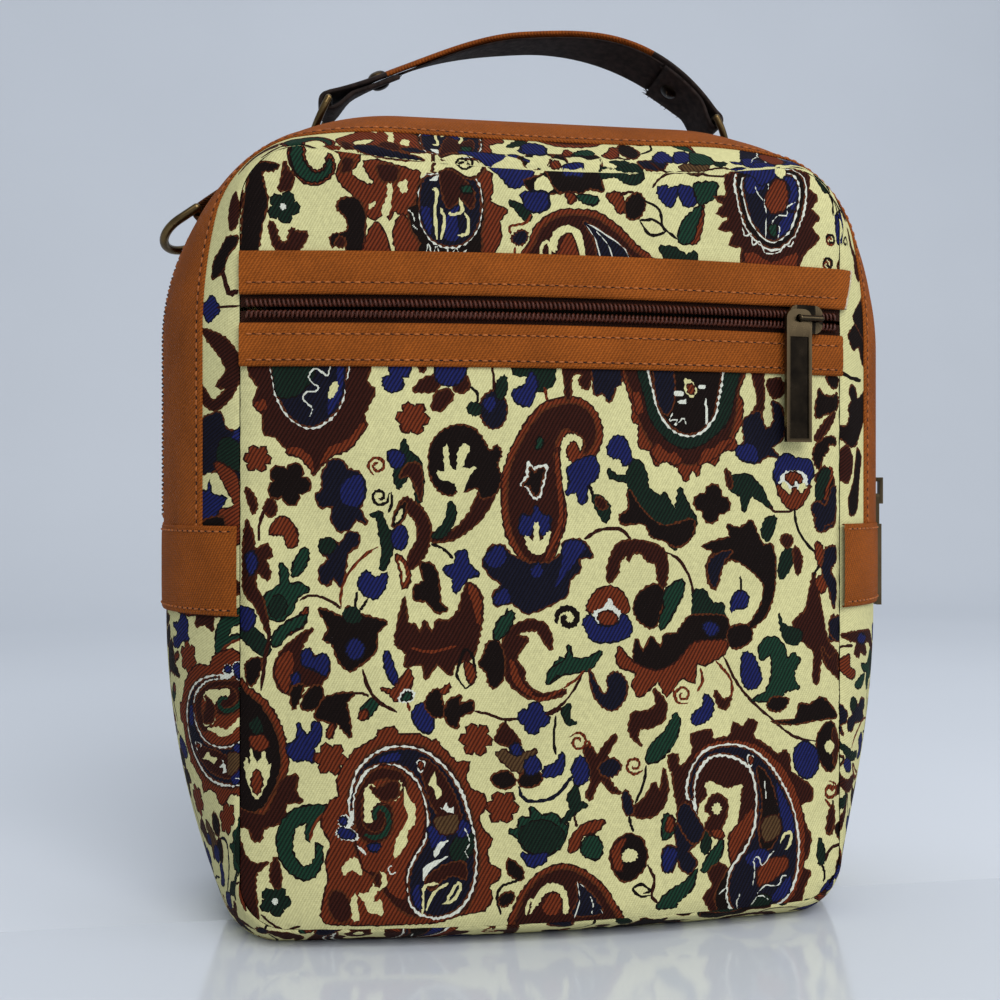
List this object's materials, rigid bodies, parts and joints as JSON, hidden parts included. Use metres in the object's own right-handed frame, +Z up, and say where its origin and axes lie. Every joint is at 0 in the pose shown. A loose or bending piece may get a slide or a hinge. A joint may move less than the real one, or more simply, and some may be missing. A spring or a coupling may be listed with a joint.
{
  "type": "crossbody bag",
  "caption": "Small upright zipped cloth bag with a swelling gusset, a zipped front pocket, brown trim, metal strap rings at its top corners and a carrying handle.",
  "frame": {"origin": "on the floor, under the middle of the bag", "axes": "+X to the bag's right as the picture shows it, +Y to the back, +Z up; the zipped front pocket faces -Y"},
  "size_m": [0.2548, 0.1077, 0.302],
  "materials": {
    "cloth": "woven jacquard",
    "twill": "brown cotton twill",
    "twill_dark": "dark brown cotton twill",
    "lining": "near-black woven lining",
    "zip_tape": "woven zip tape",
    "zip_coil": "nylon coil",
    "brass": "antique brass",
    "bronze": "dark antique bronze"
  },
  "bodies": {
    "bag": {"front_panel_upper": "cloth", "front_panel_lower": "cloth", "back_panel": "cloth", "front_trim_upper": "twill", "front_trim_lower": "twill", "front_zip_tape_upper": "zip_tape", "front_zip_tape_lower": "zip_tape", "front_zip_coil_upper": "zip_coil", "front_zip_coil_lower": "zip_coil", "pocket_lining": "lining", "front_gusset": "cloth", "rear_gusset": "cloth", "zip_band_front": "twill", "zip_band_rear": "twill", "main_zip_tape_front": "zip_tape", "main_zip_tape_rear": "zip_tape", "main_zip_coil_front": "zip_coil", "main_zip_coil_rear": "zip_coil", "bottom_gusset": "cloth", "patch_left": "twill", "patch_right": "twill", "d_ring_tab_left": "twill_dark", "d_ring_tab_right": "twill_dark", "handle_tab_left": "twill_dark", "handle_tab_right": "twill_dark"},
    "front_slider": {"front_slider": "bronze"},
    "front_pull": {"front_pull": "bronze"},
    "main_slider": {"main_slider": "bronze"},
    "main_pull": {"main_pull": "bronze"},
    "d_ring_left": {"d_ring_left": "brass"},
    "d_ring_right": {"d_ring_right": "brass"},
    "handle": {"handle_strap": "twill", "handle_lining": "lining", "handle_rivets": "brass", "handle_ring_left": "brass", "handle_ring_right": "brass"}
  },
  "joints": [
    {"name": "front_slider_run", "type": "hinge", "parent": "bag", "child": "front_slider", "pos_m": [0, 0.40125, 0.193], "axis": [0, 0, -1], "range_deg": [0, 19.9]},
    {"name": "front_pull_swing", "type": "hinge", "parent": "front_slider", "child": "front_pull", "pos_m": [0.07646, -0.04856, 0.193], "axis": [0.1753, -0.9845, 0], "range_deg": [-100, 35]},
    {"name": "main_slider_run", "type": "slide", "parent": "bag", "child": "main_slider", "axis": [0, 0, 1], "range_m": [0, 0.042]},
    {"name": "main_pull_flip", "type": "hinge", "parent": "main_slider", "child": "main_pull", "pos_m": [0.1261, 0, 0.13705], "axis": [0, -1, 0], "range_deg": [0, 170]},
    {"name": "d_ring_left_swing", "type": "hinge", "parent": "bag", "child": "d_ring_left", "pos_m": [-0.10981, 0.01984, 0.23268], "axis": [0.2839, 0.938, -0.1988], "range_deg": [-34, 98]},
    {"name": "d_ring_right_swing", "type": "hinge", "parent": "bag", "child": "d_ring_right", "pos_m": [0.10981, 0.01984, 0.23268], "axis": [0.2839, -0.938, 0.1988], "range_deg": [0, 130]},
    {"name": "handle_lean", "type": "hinge", "parent": "bag", "child": "handle", "pos_m": [0, 0.01704, 0.27095], "axis": [1, 0, 0], "range_deg": [-35, 35]}
  ]
}
